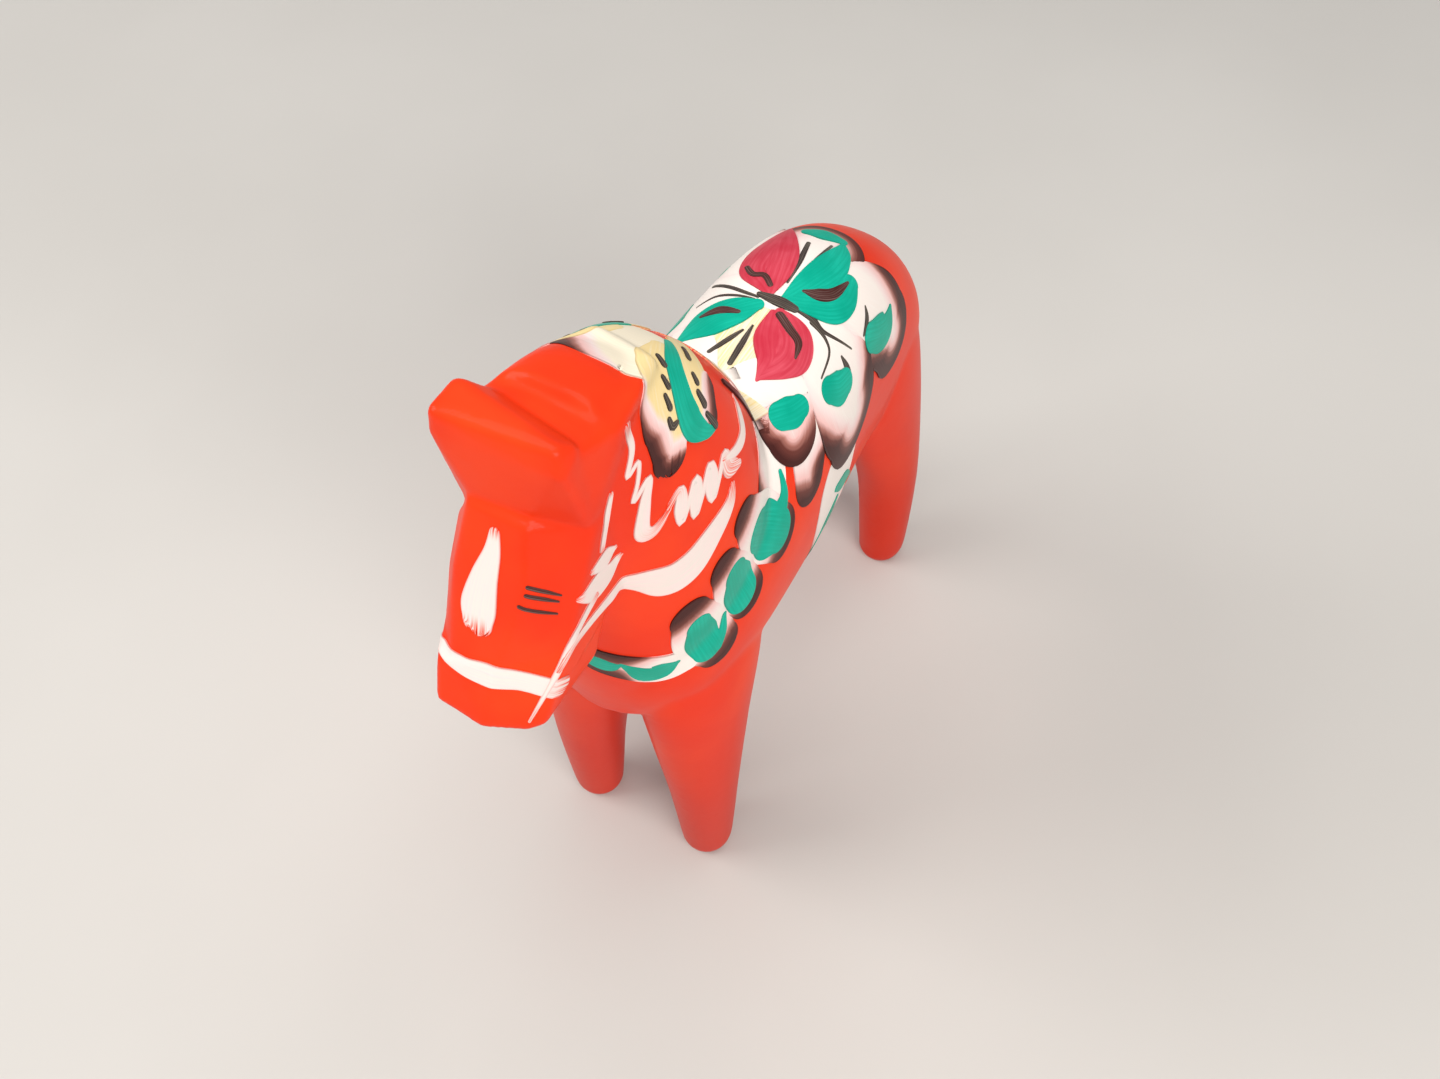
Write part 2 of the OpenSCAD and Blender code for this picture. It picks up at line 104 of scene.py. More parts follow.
FRONT_LEG = [
    (1.5, 21.5, 0, 6.5, 6.5, 0, 1),
    (1.5, 21.5, 2.5, 8, 8, 0, 1),
    (1.5, 21.5, 12, 9, 9, 0, 1),
    (1, 20.5, 50, 12.5, 11, 0, 1),
    (-2, 18, 85, 18, 13.5, 0, 1),
    (-6, 16, 115, 24, 15, 0, 1),
    (-8, 15, 140, 26, 13, 0, 1),
]
HIND_LEG = [
    (-134, 23.5, 0, 6.5, 6.5, 0, 1),
    (-134, 23.5, 2.5, 8, 8, 0, 1),
    (-134, 23.5, 12, 9, 9, 0, 1),
    (-133, 21.5, 50, 12, 10.5, 0, 1),
    (-128, 18, 85, 18, 11.5, 0, 1),
    (-121, 15, 115, 23, 12, 0, 1),
    (-117, 13, 135, 23, 11, 0, 1),
]
# How round the edges of each lump of the head are, and its corners on the left and on
# the right. The knife left the face a little to the right of the middle.
FACE = (
    1.3,
    [(37.5, 4.5, 224.5), (44, 6.5, 210), (53, 2.5, 190.5), (29, 13, 219.5), (35, 13, 205.5),
     (42, 13, 195), (46.5, 12.8, 183), (30, 12.5, 190), (16, 13, 192), (10, 13, 219)],
    [(37.5, -8, 224.5), (44, -9.5, 210), (54, -7.8, 188.5), (36, -13, 214.5),
     (41.8, -13, 205), (53, -10.6, 186), (30, -12.5, 190), (16, -13, 192), (10, -13, 219)],
)
MUZZLE = (
    1.3,
    [(52.5, 2.5, 192), (60, 1.6, 177.5), (56, 9.8, 177), (53.5, 12.2, 177.5),
     (46.5, 12.8, 183), (42, 13, 195), (52, 10, 173.5), (34, 12, 176), (25, 12.5, 195)],
    [(54.5, -7.8, 188.5), (59.4, -9.4, 178), (56.5, -11.2, 179), (55, -10.6, 187),
     (42, -13, 199), (54, -9, 174), (34, -12, 176), (25, -12.5, 195)],
)
EARS = (
    2,
    [(32, 9.8, 245.3), (29.5, 10.8, 243.3), (33, 11, 241.5), (34.5, 4, 226), (29, 12, 222.5)],
    [(35, -13, 246.5), (28.5, -13.3, 246), (26, -9, 243), (35.5, -13.5, 242), (35.5, -8, 226),
     (33, -12, 219)],
)
POLL = (
    2,
    [(31, 10.3, 242), (17, 12.8, 238.5), (8, 11, 237.2), (-2, 8, 233.5), (12, 11, 228), (20, 12, 220),
     (29, 12, 222)],
    [(32, -11.5, 243), (15, -9.5, 238.5), (4, -7.5, 235.5), (-4, -5, 233), (12, -11, 228),
     (20, -12, 220), (29, -12, 222)],
)


def curve(rows, steps):
    """A smooth curve through rows, with steps points between each two."""
    rows = np.asarray(rows, float)
    padded = np.vstack([rows[:1], rows, rows[-1:]])
    out = []
    for i in range(len(rows) - 1):
        a, b, c, d = padded[i:i + 4]
        for t in np.arange(steps) / steps:
            out.append(0.5 * (2 * b + (c - a) * t + (2 * a - 5 * b + 4 * c - d) * t ** 2
                              + (3 * b - a - 3 * c + d) * t ** 3))
    out.append(rows[-1])
    return np.array(out)


def bent(value, squareness):
    return np.sign(value) * np.abs(value) ** squareness


def add_loft(bm, sections, side):
    turn = np.arange(AROUND) * 2 * math.pi / AROUND
    rings = []
    for x, y, z, deep, wide, lean, square in curve(sections, STEPS):
        depth = bent(np.cos(turn), square) * deep
        tilt = math.radians(lean)
        ring = np.stack([
            x + depth * math.cos(tilt),
            side * (y + bent(np.sin(turn), square) * wide),
            z + depth * math.sin(tilt),
        ], axis=1)
        rings.append([bm.verts.new(p) for p in place(ring)])
    for one, two in zip(rings, rings[1:]):
        for k in range(AROUND):
            m = (k + 1) % AROUND
            bm.faces.new((one[k], two[k], two[m], one[m]))
    bm.faces.new(rings[0])
    bm.faces.new(rings[-1])


def add_lump(bm, radius, left, right):
    ball = bmesh.new()
    bmesh.ops.create_icosphere(ball, subdivisions=2, radius=radius)
    rounding = np.array([v.co for v in ball.verts])
    ball.free()
    points = [np.array(corner) + rounding for corner in left + right]
    verts = [bm.verts.new(p) for p in place(np.vstack(points))]
    hull = bmesh.ops.convex_hull(bm, input=verts)
    spare = [v for v in hull["geom_interior"] if isinstance(v, bmesh.types.BMVert)]
    bmesh.ops.delete(bm, geom=spare, context="VERTS")


def remeshed(bm):
    """The skin around all the closed shells in bm, as an even mesh."""
    mesh = bpy.data.meshes.new("shells")
    bmesh.ops.recalc_face_normals(bm, faces=bm.faces)
    bm.to_mesh(mesh)
    bm.free()
    rough = bpy.data.objects.new("shells", mesh)
    bpy.context.scene.collection.objects.link(rough)
    remesh = rough.modifiers.new("skin", "REMESH")
    remesh.mode = "VOXEL"
    remesh.voxel_size = VOXEL
    graph = bpy.context.evaluated_depsgraph_get()
    skin = bpy.data.meshes.new_from_object(rough.evaluated_get(graph))
    bpy.data.objects.remove(rough)
    return skin


def smoothstep(x, start, end):
    t = np.clip((x - start) / (end - start), 0, 1)
    return t * t * (3 - 2 * t)


def coordinates(mesh):
    co = np.empty(len(mesh.vertices) * 3)
    mesh.vertices.foreach_get("co", co)
    return co.reshape(-1, 3)


def smooth(co, edges, rounds, weight):
    """Evens out co without shrinking it, more where weight is nearer 1."""
    count = len(co)
    both = np.vstack([edges, edges[:, ::-1]])
    degree = np.bincount(both[:, 0], minlength=count)[:, None]
    for _ in range(rounds):
        for step in (0.6, -0.62):
            total = np.stack([
                np.bincount(both[:, 0], weights=co[both[:, 1], axis], minlength=count)
                for axis in range(3)
            ], axis=1)
            co = co + step * weight[:, None] * (total / degree - co)
    return co


def carve():
    bm = bmesh.new()
    add_loft(bm, TORSO, 1)
    add_loft(bm, NECK, 1)
    for side in (1, -1):
        add_loft(bm, FRONT_LEG, side)
        add_loft(bm, HIND_LEG, side)
    for lump in (FACE, MUZZLE, EARS, POLL):
        add_lump(bm, *lump)
    mesh = remeshed(bm)
    edges = np.empty(len(mesh.edges) * 2, int)
    mesh.edges.foreach_get("vertices", edges)
    edges = edges.reshape(-1, 2)
    co = coordinates(mesh)
    sharp = smoothstep(co[:, 2], *SHARP_ABOVE) * smoothstep(co[:, 0], *SHARP_AHEAD)
    sole = co[:, 2] < SOLE
    co = smooth(co, edges, SMOOTHING, np.where(sole, 0, 1 - sharp))
    co = smooth(co, edges, SOFTENING, np.where(sole, 0, 1.0))
    co[:, 2] = np.maximum(co[:, 2], 0)
    co = np.clip(co, low, high)
    mesh.vertices.foreach_set("co", co.ravel())
    mesh.update()
    for polygon in mesh.polygons:
        polygon.use_smooth = True
    return mesh


horse_mesh = carve()
horse = bpy.data.objects.new("horse", horse_mesh)
bpy.context.scene.collection.objects.link(horse)


# ---------------------------------------------------------------- brush strokes

skin_co = coordinates(horse_mesh)
skin_normal = np.array([v.normal for v in horse_mesh.vertices])
skin_faces = [tuple(p.vertices) for p in horse_mesh.polygons]
skin = BVHTree.FromPolygons([Vector(v) for v in skin_co], skin_faces)


def on_skin(point):
    """The nearest point of the horse's surface and the smooth normal there."""
    spot, _, face, _ = skin.find_nearest(Vector(point))
    spot = np.array(spot)
    corners = list(skin_faces[face])
    near = 1 / (np.sum((skin_co[corners] - spot) ** 2, axis=1) + 1e-9)
    normal = (skin_normal[corners] * near[:, None]).sum(0)
    return spot, normal / np.linalg.norm(normal)


# The steps of a film of paint along a stroke, how far it goes into the skin and how
# thick it is on it, in metres.
PITCH = 0.0006
BELOW = 0.00012
FILM = 0.00012


def even_line(points):
    """The stroke's middle line in even steps, with its half widths, in metres."""
    rows = np.asarray(points, float)
    line = curve(np.hstack([place(rows[:, :3]), rows[:, 3:] * MM]), 12)
    run = run_along(line[:, :3])
    at = np.linspace(0, run[-1], max(4, int(run[-1] / PITCH)))
    return np.stack([np.interp(at, run, line[:, k]) for k in range(4)], axis=1)


def run_along(points):
    gaps = np.linalg.norm(np.diff(points, axis=0), axis=1)
    return np.concatenate([[0], np.cumsum(gaps)])


def round_end(end, before):
    """Rows that carry a stroke on past its end and round it off."""
    width = max(end[3], 0.0002)
    heading = end[:3] - before[:3]
    heading = heading / np.linalg.norm(heading)
    count = max(3, int(width / PITCH * 1.4))
    turn = np.arange(1, count + 1) / count * math.pi / 2
    reach = end[:3] + heading * width * np.sin(turn)[:, None]
    left = np.maximum(width * np.cos(turn), 0.00002)
    return np.hstack([reach, left[:, None]])


def span_row(middle, normal, ahead, width, half):
    """Points across a stroke, walked out over the skin from its middle line."""
    row = np.zeros((2 * half + 1, 3))
    up = np.zeros((2 * half + 1, 3))
    row[half] = middle
    up[half] = normal
    for side in (1, -1):
        here, n = middle, normal
        heading = side * np.cross(normal, ahead)
        for j in range(1, half + 1):
            heading = heading - n * heading.dot(n)
            heading = heading / (np.linalg.norm(heading) + 1e-12)
            here, n = on_skin(here + heading * width / half)
            row[half + side * j] = here
            up[half + side * j] = n
    return row, up


def hairs(rows, run, amount, seed):
    """Lets some of the brush's hairs lift early at the end of the stroke."""
    n, columns, _ = rows.shape
    out = rows.copy()
    for j in range(columns):
        early = noise.noise((j * 0.55, seed * 7.3, 0)) + noise.noise((j * 1.9, seed, 5)) * 0.6
        shift = amount * max(early + 0.25, 0)
        at = run - shift * smoothstep(run, run[-1] - 2.5 * amount, run[-1])
        for k in range(3):
            out[:, j, k] = np.interp(at, run, rows[:, j, k])
    return out


# A depth in mm at which no dark edge is left.
PALE = 99
# In metres: how far in the pale start of a stroke reaches, how much a pale side counts
# for at a round end, and the greatest depth that a vertex keeps (mm).
BARE = 0.012
SIDE_REACH = 0.006
DEEPEST = 40


def ribbon(points, flip, lift, feather, seed, dark):
    """One stroke as a closed film on the horse: vertices, faces and, at each vertex,
    how far along, across, in from the edge and in from a dark edge (mm) and which
    share of its length. dark is how pale its left, right, start and end edges are."""
    line = even_line([(x, flip * y, z, w) for x, y, z, w in points])
    first = round_end(line[0], line[1])[::-1]
    last = round_end(line[-1], line[-2])
    starts, ends = len(first), len(first) + len(line) - 1
    line = np.vstack([first, line, last])
    widths = line[:, 3]
    half = int(np.clip(math.ceil(widths.max() / PITCH), 2, 24))
    spots = [on_skin(row[:3]) for row in line]
    middle = np.array([s[0] for s in spots])
    ahead = np.gradient(middle, axis=0)
    ahead /= np.linalg.norm(ahead, axis=1)[:, None] + 1e-12
    spans = [
        span_row(spot, normal, forward, width, half)
        for (spot, normal), forward, width in zip(spots, ahead, widths)
    ]
    rows = np.array([s[0] for s in spans])
    up = np.array([s[1] for s in spans])
    run = run_along(middle)
    share = flip * np.linspace(-1, 1, 2 * half + 1)
    across = widths[:, None] * share
    inside = widths[:, None] * (1 - np.abs(share))
    for row, beyond in ((starts, run < run[starts]), (ends, run > run[ends])):
        away = np.hypot(across, (run - run[row])[:, None])
        rounded = np.minimum(inside, widths[row] - away)
        inside = np.where(beyond[:, None], rounded, inside)
    inside = np.maximum(inside, 0)
    left, right, start, end = (d * MM for d in dark)
    beside = np.where(share < 0, left, right)
    bare = BARE * (1 - smoothstep(run / run[-1], 0.25, 0.7)) * (start > 0)
    # How far in from a dark edge each point is, at the sides and then at both ends.
    rim = np.minimum(
        widths[:, None] * (1 + share) + left,
        widths[:, None] * (1 - share) + right,
    ) + bare[:, None]
    for row, beyond, pale in ((starts, run[starts] - run, start), (ends, run - run[ends], end)):
        past = np.maximum(beyond, 0)[:, None]
        away = np.hypot(across, past)
        turned = np.minimum((away - past) / widths[row], 1)
        cap = np.maximum(widths[row] - away, 0) + pale + np.minimum(beside, SIDE_REACH) * turned
        rim = np.minimum(rim, cap + np.maximum(-beyond, 0)[:, None])
    if feather:
        rows = hairs(rows, run, feather * MM, seed)
    height = lift + FILM * (0.35 + 0.65 * smoothstep(inside, 0, 0.00035))
    top = rows + up * height[..., None]
    bottom = rows - up * BELOW
    along = np.broadcast_to(run[:, None], across.shape)
    brush = np.stack([
        along / MM, across / MM, inside / MM, along / run[-1], np.minimum(rim / MM, DEEPEST),
    ], axis=-1)
    verts = np.concatenate([top.reshape(-1, 3), bottom.reshape(-1, 3)])
    brush = np.tile(brush.reshape(-1, 5), (2, 1))
    return verts, shell_faces(*across.shape), brush


def shell_faces(n, columns):
    """Faces of a closed sheet with n rows: its top, its bottom and its rim."""
    base = n * columns
    faces = []
    for i in range(n - 1):
        for j in range(columns - 1):
            a = i * columns + j
            quad = (a, a + columns, a + columns + 1, a + 1)
            faces.append(quad[::-1])
            faces.append(tuple(base + v for v in quad))
    around = [i * columns for i in range(n)]
    around += [(n - 1) * columns + j for j in range(1, columns)]
    around += [i * columns + columns - 1 for i in range(n - 2, -1, -1)]
    around += [j for j in range(columns - 2, 0, -1)]
    for a, b in zip(around, around[1:] + around[:1]):
        faces.append((b, a, base + a, base + b))
    return faces


# How much further out each level of paint lies, and each next stroke of a film, in metres.
LAYER = 0.00013
OVERLAP = 0.00002


def paint(node, material, strokes, level, sides, feather=0.0, dark=((0, 0, PALE, 0),)):
    """A film of paint made of brush strokes, which stands for one CAD node. The strokes
    take the edges in dark by turns."""
    verts, faces, brush = [], [], []
    count = 0
    for flip in sides:
        for k, points in enumerate(strokes):
            lift = level * LAYER + OVERLAP * (k % 5)
            v, f, b = ribbon(points, flip, lift, feather, k + 1, dark[k % len(dark)])
            faces += [tuple(count + i for i in face) for face in f]
            verts.append(v)
            brush.append(b)
            count += len(v)
    mesh = bpy.data.meshes.new(node)
    mesh.from_pydata(np.vstack(verts).tolist(), [], faces)
    brush = np.vstack(brush)
    for column, name in enumerate(("along", "across", "inside", "share", "rim")):
        layer = mesh.attributes.new(name, "FLOAT", "POINT")
        layer.data.foreach_set("value", brush[:, column].astype(np.float32))
    for polygon in mesh.polygons:
        polygon.use_smooth = True
    mesh.materials.append(material)
    film = bpy.data.objects.new("paint_" + node, mesh)
    bpy.context.scene.collection.objects.link(film)
    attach(film, "root")
    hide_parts(node)
    return film


# ---------------------------------------------------------------- materials

class Nodes:
    """A material's nodes, each made by one short call."""

    def __init__(self, name, gloss):
        self.material = bpy.data.materials.new(name)
        self.material.use_nodes = True
        self.tree = self.material.node_tree
        self.shader = self.tree.nodes["Principled BSDF"]
        self.shader.inputs["Coat Weight"].default_value = gloss
        self.shader.inputs["Coat Roughness"].default_value = 0.08
        self.shader.inputs["Specular IOR Level"].default_value = 0.08
        self.shader.inputs["IOR"].default_value = 1.45

    def link(self, source, target):
        self.tree.links.new(source, target)

    def new(self, kind, **inputs):
        node = self.tree.nodes.new(kind)
        for name, value in inputs.items():
            self.put(node.inputs[name.replace("_", " ")], value)
        return node

    def put(self, socket, value):
        if isinstance(value, bpy.types.NodeSocket):
            self.link(value, socket)
        elif value is not None:
            socket.default_value = value

    def value(self, name):
        node = self.tree.nodes.new("ShaderNodeAttribute")
        node.attribute_name = name
        return node.outputs["Fac"]

    def height(self):
        spot = self.new("ShaderNodeTexCoord").outputs["Object"]
        return self.new("ShaderNodeSeparateXYZ", Vector=spot).outputs["Z"]

    def math(self, kind, a, b=None, c=None):
        node = self.tree.nodes.new("ShaderNodeMath")
        node.operation = kind
        for socket, value in zip(node.inputs, (a, b, c)):
            self.put(socket, value)
        return node.outputs[0]

    def spread(self, value, low, high, to_low=0.0, to_high=1.0):
        node = self.new("ShaderNodeMapRange")
        node.interpolation_type = "SMOOTHSTEP"
        for socket, v in zip(node.inputs, (value, low, high, to_low, to_high)):
            self.put(socket, v)
        return node.outputs[0]

    def noise(self, scale, detail=2.0, vector=None, stretch=(1, 1, 1)):
        if vector is None:
            vector = self.new("ShaderNodeTexCoord").outputs["Object"]
        mapping = self.new("ShaderNodeMapping", Vector=vector, Scale=stretch)
        node = self.new("ShaderNodeTexNoise", Vector=mapping.outputs[0],
                        Scale=scale, Detail=detail)
        return node.outputs["Fac"]

    def hair_marks(self, fine=2.2, lengthwise=0.06):
        """Streaks left by the brush's hairs: long along the stroke, fine across it."""
        vector = self.new("ShaderNodeCombineXYZ", X=self.value("along"),
                          Y=self.value("across"), Z=0.0).outputs[0]
        return self.noise(1.0, 3.0, vector, (lengthwise, fine, 1))

    def rim_marks(self, fine=1.6, lengthwise=0.08):
        """Streaks that run round a petal, along its edge."""
        vector = self.new("ShaderNodeCombineXYZ", X=self.value("along"),
                          Y=self.value("inside"), Z=0.0).outputs[0]
        return self.noise(1.0, 3.0, vector, (lengthwise, fine, 1))

    def mix(self, factor, one, two):
        node = self.tree.nodes.new("ShaderNodeMix")
        node.data_type = "RGBA"
        self.put(node.inputs["Factor"], factor)
        self.put(node.inputs["A"], one)
        self.put(node.inputs["B"], two)
        return node.outputs["Result"]

    def ramp(self, value, stops):
        node = self.tree.nodes.new("ShaderNodeValToRGB")
        self.put(node.inputs[0], value)
        elements = node.color_ramp.elements
        elements[0].position, elements[0].color = stops[0]
        elements[1].position, elements[1].color = stops[-1]
        for position, colour in stops[1:-1]:
            elements.new(position).color = colour
        return node.outputs["Color"]

    def finish(self, colour, roughness, height=None, depth=0.00005):
        self.put(self.shader.inputs["Base Color"], colour)
        self.put(self.shader.inputs["Roughness"], roughness)
        if height is not None:
            bump = self.new("ShaderNodeBump", Height=height, Distance=depth)
            bump.inputs["Strength"].default_value = 0.6
            self.link(bump.outputs[0], self.shader.inputs["Normal"])
            self.link(bump.outputs[0], self.shader.inputs["Coat Normal"])
        return self.material


def rgb(red, green, blue):
    return (red, green, blue, 1.0)


RED = rgb(0.88, 0.052, 0.009)
RED_DEEP = rgb(0.80, 0.034, 0.007)
# The red in painted shade, mixed in lower down towards the feet.
RED_PAINTED_SHADE = rgb(0.56, 0.026, 0.010)
CREAM = rgb(0.90, 0.80, 0.62)
WHITE = rgb(0.90, 0.86, 0.80)
CHALK = rgb(0.82, 0.72, 0.66)
YELLOW = rgb(0.88, 0.68, 0.33)
PINK = rgb(0.84, 0.50, 0.47)
PALE_PINK = rgb(0.88, 0.70, 0.67)
BROWN = rgb(0.14, 0.038, 0.030)
DARK_BROWN = rgb(0.060, 0.016, 0.014)
GREEN = rgb(0.0, 0.33, 0.22)
GREEN_LIGHT = rgb(0.01, 0.48, 0.34)
CRIMSON = rgb(0.50, 0.022, 0.045)
ROSE = rgb(0.68, 0.10, 0.14)
INK = rgb(0.045, 0.032, 0.030)
OLIVE = rgb(0.15, 0.13, 0.10)


def body_paint():
    """The glossy red ground coat, with painted shade that darkens it towards the feet."""
    m = Nodes("red_gloss", 0.12)
    clouds = m.noise(28.0, 3.0)
    pull = m.noise(60.0, 4.0, None, (1, 1, 0.12))
    colour = m.mix(m.spread(clouds, 0.35, 0.68), RED_DEEP, RED)
    colour = m.mix(m.spread(pull, 0.5, 0.8, 0.0, 0.25), colour, RED_DEEP)
    # Painted shade: the red gets darker lower down, towards the feet, where less light reaches.
    painted_shade_low = m.spread(m.height(), 0.15, 0.02, 0.0, 0.8)
    colour = m.mix(painted_shade_low, colour, RED_PAINTED_SHADE)
    height = m.math("ADD", m.math("MULTIPLY", pull, 0.6), m.math("MULTIPLY", m.noise(260.0), 0.5))
    return m.finish(colour, 0.42, height, 0.00012)


def pale_stroke(name, first, second):
    """White brush strokes, thin where the brush lands and lifts."""
    m = Nodes(name, 0.1)
    hairs_ = m.hair_marks(2.4)
    colour = m.mix(m.spread(hairs_, 0.38, 0.62), first, second)
    colour = m.mix(m.spread(m.noise(180.0), 0.45, 0.7, 0.0, 0.5), colour, second)
    thin_end = m.spread(m.value("share"), 0.80, 1.0)
    thin_start = m.spread(m.value("share"), 0.12, 0.0)
    thin = m.math("MAXIMUM", thin_end, thin_start)
    worn = m.math("MULTIPLY", thin, m.spread(hairs_, 0.40, 0.58))
    edge = m.spread(m.value("inside"), 0.5, 0.0, 0.0, 0.35)
    colour = m.mix(m.math("MAXIMUM", worn, edge), colour, RED)
    return m.finish(colour, 0.35, hairs_, 0.00008)


def rimmed_stroke(name, heart, rim_width):
    """A two-colour brush stroke: dark at the rim, then pink, then pale inside."""
    m = Nodes(name, 0.1)
    marks = m.rim_marks()
    wander = m.math("MULTIPLY_ADD", marks, 1.2, -0.6)
    depth = m.math("ADD", m.value("rim"), wander)
    at = m.math("DIVIDE", depth, rim_width * 4.0)
    colour = m.ramp(at, [
        (0.0, DARK_BROWN), (0.22, BROWN), (0.36, rgb(0.40, 0.16, 0.13)),
        (0.50, PINK), (0.78, PALE_PINK), (1.0, heart),
    ])
    worn = m.math("MULTIPLY", m.spread(m.hair_marks(1.8), 0.5, 0.75, 0.0, 0.35),
                  m.spread(at, 0.4, 0.7))
    colour = m.mix(worn, colour, WHITE)
    return m.finish(colour, 0.38, marks, 0.00008)


def full_stroke(name, deep, light, fine=1.5):
    """A well-loaded stroke of one paint, lighter where it pools."""
    m = Nodes(name, 0.1)
    hairs_ = m.hair_marks(fine)
    colour = m.mix(m.spread(hairs_, 0.30, 0.74, 0.25, 0.85), deep, light)
    pool = m.spread(m.noise(110.0, 2.0), 0.35, 0.7, 0.0, 0.7)
    colour = m.mix(pool, colour, deep)
    return m.finish(colour, 0.33, hairs_, 0.00005)


def thin_stroke(name, dark, light):
    """A line from a nearly dry brush."""
    m = Nodes(name, 0.1)
    hairs_ = m.hair_marks(3.0)
    colour = m.mix(m.spread(hairs_, 0.42, 0.7), dark, light)
    fading = m.spread(m.value("share"), 0.65, 1.0, 0.0, 0.6)
    colour = m.mix(m.math("MULTIPLY", fading, hairs_), colour, light)
    return m.finish(colour, 0.4, hairs_, 0.00005)


# ---------------------------------------------------------------- the painting

def mirrored(strokes):
    return strokes + [[(x, -y, z, w) for x, y, z, w in points] for points in strokes]


# Strokes are lists of (x, y, z, half width) in mm, near the skin they are pulled on to.
# Those of the sides are on the horse's left.
BLAZE = [
    [(40.5, -1.5, 222, 1.2), (42.5, -1.5, 217.5, 2), (45, -2.5, 211, 3.2), (48, -3, 204.5, 4.2),
     (50, -2.8, 201, 3.6)],
]
NOSEBAND = [
    [(48, -13, 187, 1.4), (55, -9.5, 190, 1.8), (55.5, -4, 189.3, 2.4), (55, 2, 190, 3),
     (52, 7.5, 188.5, 2.4), (47, 13.5, 183.5, 2.6)],
]
EYE_DASHES = [
    [(43.5, 7, 213, 0.45), (41.5, 9.5, 210.5, 0.45), (39.5, 11.5, 208, 0.2)],
    [(44.5, 7, 211.3, 0.45), (42.5, 9.5, 209, 0.45), (40.5, 11.5, 206.8, 0.2)],
    [(46, 6, 208.5, 0.45), (44, 9.3, 206.2, 0.4), (41.7, 11.5, 204, 0.2)],
]
# The right side of the head is cut further in, and its eye sits further back.
RIGHT_EYE = [[(x - 10, y + 3, z - 2, w) for x, y, z, w in points] for points in EYE_DASHES]
CHEEK_STRAP = [
    [(23, 14.5, 224, 0.8), (25.5, 14.5, 218, 1.1), (28, 14.5, 211.5, 1)],
    [(24, 14.5, 206.5, 0.8), (27.5, 14.5, 207, 3), (32, 14.5, 208.5, 1)],
    [(22.5, 14.5, 202.5, 0.6), (27, 14.5, 201, 3.4), (32, 14.5, 202.5, 4), (37.5, 14, 205, 0.6)],
    [(32.5, 14.5, 199.5, 1.5), (40.5, 14.5, 196, 1.3), (47, 13.5, 189.5, 0.8),
     (56, 10.7, 179, 0.3)],
    [(-9.5, 24, 194.5, 0.8), (-6.5, 24.5, 190.5, 2.4), (0.5, 24, 187, 4), (8, 23, 184, 5.2),
     (14, 20.5, 184.5, 5), (20, 16, 189.5, 3), (29, 14.5, 192, 1.8), (41, 14.5, 193.5, 1.3),
     (47, 13.5, 189.5, 0.7)],
]
RIPPLE = [
    [(15.5, 14.5, 237, 1.3), (15, 14.5, 230.5, 1), (18, 15, 224.5, 0.8),
     (14.5, 15.5, 225.5, 0.7), (16, 16, 220.5, 0.7), (18, 16, 216.5, 0.8), (13, 16.5, 219, 1),
     (15.5, 17, 213.5, 1.8), (17.5, 17, 206, 2.2), (15, 18.5, 203.5, 1.7), (10, 19, 206, 0.7)],
    [(10, 19, 206.5, 0.8), (6, 19.5, 208.5, 1.2), (7, 20.5, 203.5, 2.3), (7.5, 21, 199.5, 1),
     (1.5, 20.5, 207, 1.3), (2.5, 21.5, 202, 2.5), (3.5, 22, 197.8, 1), (-3.5, 21, 206.3, 1.3),
     (-3, 22, 201, 2.8), (-2.5, 23, 197.3, 1), (-9, 21.5, 204, 1.3), (-10, 22.5, 199.5, 2.7),
     (-14, 23, 196.5, 1)],
    [(-8.5, 22, 203.5, 0.7), (-14, 22, 200.5, 1.5), (-19.5, 20.5, 199.5, 2),
     (-22.5, 18.5, 202.5, 1.8), (-24, 16, 205, 0.8)],
]
TUFT = [
    [(-11, 6, 229, 2.5), (-3, 10.5, 232.5, 6.5), (2.5, 14, 230, 8), (4, 16.5, 225, 7.5),
     (6, 17.5, 219.5, 5.5)],
    [(-18.5, 5, 221, 3), (-13.5, 11, 223.5, 6), (-10.5, 15.5, 220, 6.5), (-9, 18, 216, 4)],
]
MANE_LEAF = [
    [(-15, 5, 225.5, 1), (-8.5, 10.5, 228, 2.7), (-4, 14.5, 225, 3.6), (-3, 17.5, 219.5, 3.8),
     (-6, 19, 214.5, 1.8), (-9, 19, 212.5, 0.7)],
]
MANE_DASHES = [
    [(-6.7, 7.5, 230.5, 0.7), (-6, 9.5, 230.3, 0.9)],
    [(-2.5, 11, 230.5, 0.7), (-2, 12.3, 229.3, 0.9)],
    [(0.5, 13.5, 229.5, 0.7), (1, 14.8, 227.5, 0.9)],
    [(3, 15.5, 226, 0.7), (3, 16.2, 224.2, 0.9), (1, 16.5, 223.8, 0.5)],
    [(-16.5, 7.5, 223, 0.6), (-14.5, 10, 223.8, 0.8)],
    [(-11.3, 13, 223.6, 0.7), (-10.7, 14, 222.5, 0.9)],
    [(-9, 15.2, 221.5, 0.8), (-9, 17, 219, 1)],
    [(-8.2, 17.7, 217, 0.7), (-9.5, 19, 212.8, 1)],
]
PATCH = [
    [(-2, 12, 232, 5), (-1, 7, 237, 7), (-1, 0, 239, 7.5), (-1, -7, 236, 7), (-2, -12, 231, 4)],
    [(-10, 9, 228, 6), (-10.5, 0, 231, 8), (-10, -9, 227, 6)],
]
HEART = [
    [(-74.5, -3.5, 181, 0.8), (-74.5, -0.5, 181, 1.4), (-74.5, 3, 181, 1.7),
     (-74.5, 6.5, 180.5, 1.2)],
]
